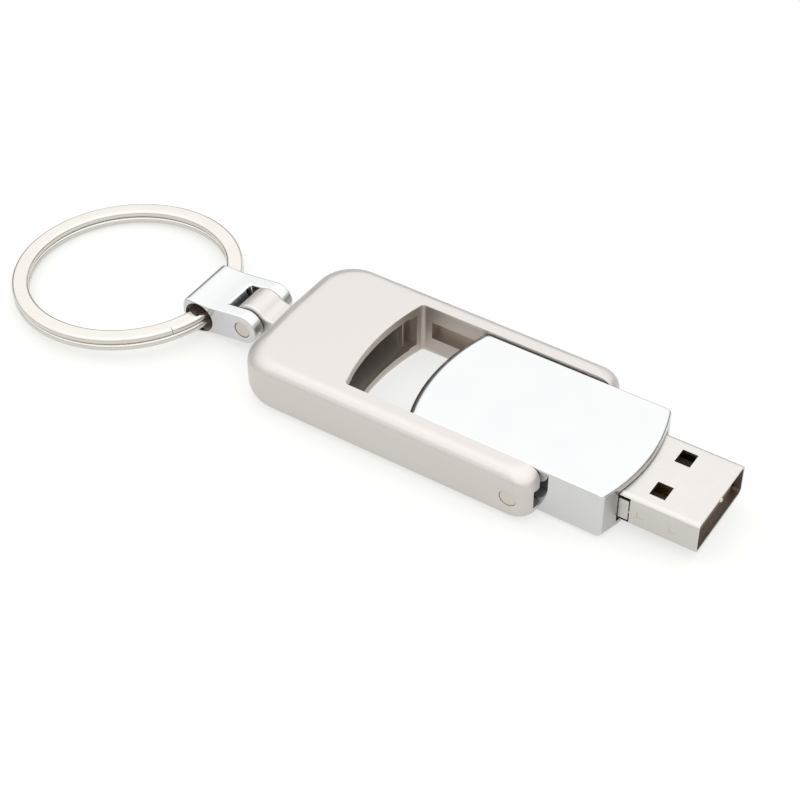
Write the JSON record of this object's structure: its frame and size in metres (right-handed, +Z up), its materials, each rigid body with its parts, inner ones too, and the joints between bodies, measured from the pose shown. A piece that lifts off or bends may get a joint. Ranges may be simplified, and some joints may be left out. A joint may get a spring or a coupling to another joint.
{
  "type": "usb flash drive",
  "caption": "Flip-over USB flash drive that slides and turns between the arms of a metal frame, with a clevis shackle and split key ring.",
  "frame": {"origin": "on the flat underside of the frame's closed end, on the mid-line, where the drive rests on a table", "axes": "+X along the frame towards the USB plug as it is turned out, +Y across the frame, +Z up, square to the frame's flat faces"},
  "size_m": [0.1006, 0.0304, 0.0073],
  "materials": {
    "satin_nickel": "satin",
    "satin_nickel_pin": "satin",
    "chrome": "polished",
    "bright_nickel": "bright",
    "stainless_shell": "bright annealed",
    "brass": "machined",
    "gold_plate": "gold plated",
    "black_plastic": "moulded",
    "green_board": "solder mask",
    "chip_epoxy": "moulded epoxy",
    "ceramic_chip": "fired ceramic"
  },
  "bodies": {
    "frame": {"frame_casting": "satin_nickel", "stop_pin_near": "satin_nickel_pin", "stop_pin_far": "satin_nickel_pin"},
    "sliders": {"slide_block_near": "brass", "slide_block_far": "brass"},
    "drive": {"drive_housing": "chrome", "pivot_stud_near": "bright_nickel", "pivot_stud_far": "bright_nickel", "usb_shell": "stainless_shell", "usb_tongue": "black_plastic", "usb_contact_1": "gold_plate", "usb_contact_2": "gold_plate", "usb_contact_3": "gold_plate", "usb_contact_4": "gold_plate", "board_tray": "black_plastic", "circuit_board": "green_board", "flash_chip": "chip_epoxy", "controller_chip": "chip_epoxy", "crystal": "bright_nickel", "capacitor_1": "ceramic_chip", "capacitor_2": "ceramic_chip", "capacitor_3": "ceramic_chip"},
    "shackle": {"shackle": "chrome", "shackle_pin": "satin_nickel_pin"},
    "key_ring": {"key_ring": "bright_nickel"}
  },
  "joints": [
    {"name": "drive_slide", "type": "slide", "parent": "frame", "child": "sliders", "axis": [1, 0, 0], "range_m": [-0.0082, 0]},
    {"name": "drive_flip", "type": "hinge", "parent": "sliders", "child": "drive", "pos_m": [0.03092, 0, 0.00367], "axis": [0, 1, 0], "continuous": true},
    {"name": "shackle_swing", "type": "hinge", "parent": "frame", "child": "shackle", "pos_m": [-0.01071, 0, 0.00367], "axis": [0, 1, 0], "range_deg": [-81.5, 98.5]},
    {"name": "ring_swing", "type": "hinge", "parent": "shackle", "child": "key_ring", "pos_m": [-0.01757, 0, 0.00265], "axis": [0, 1, 0], "range_deg": [-95.5, 84.5]}
  ]
}
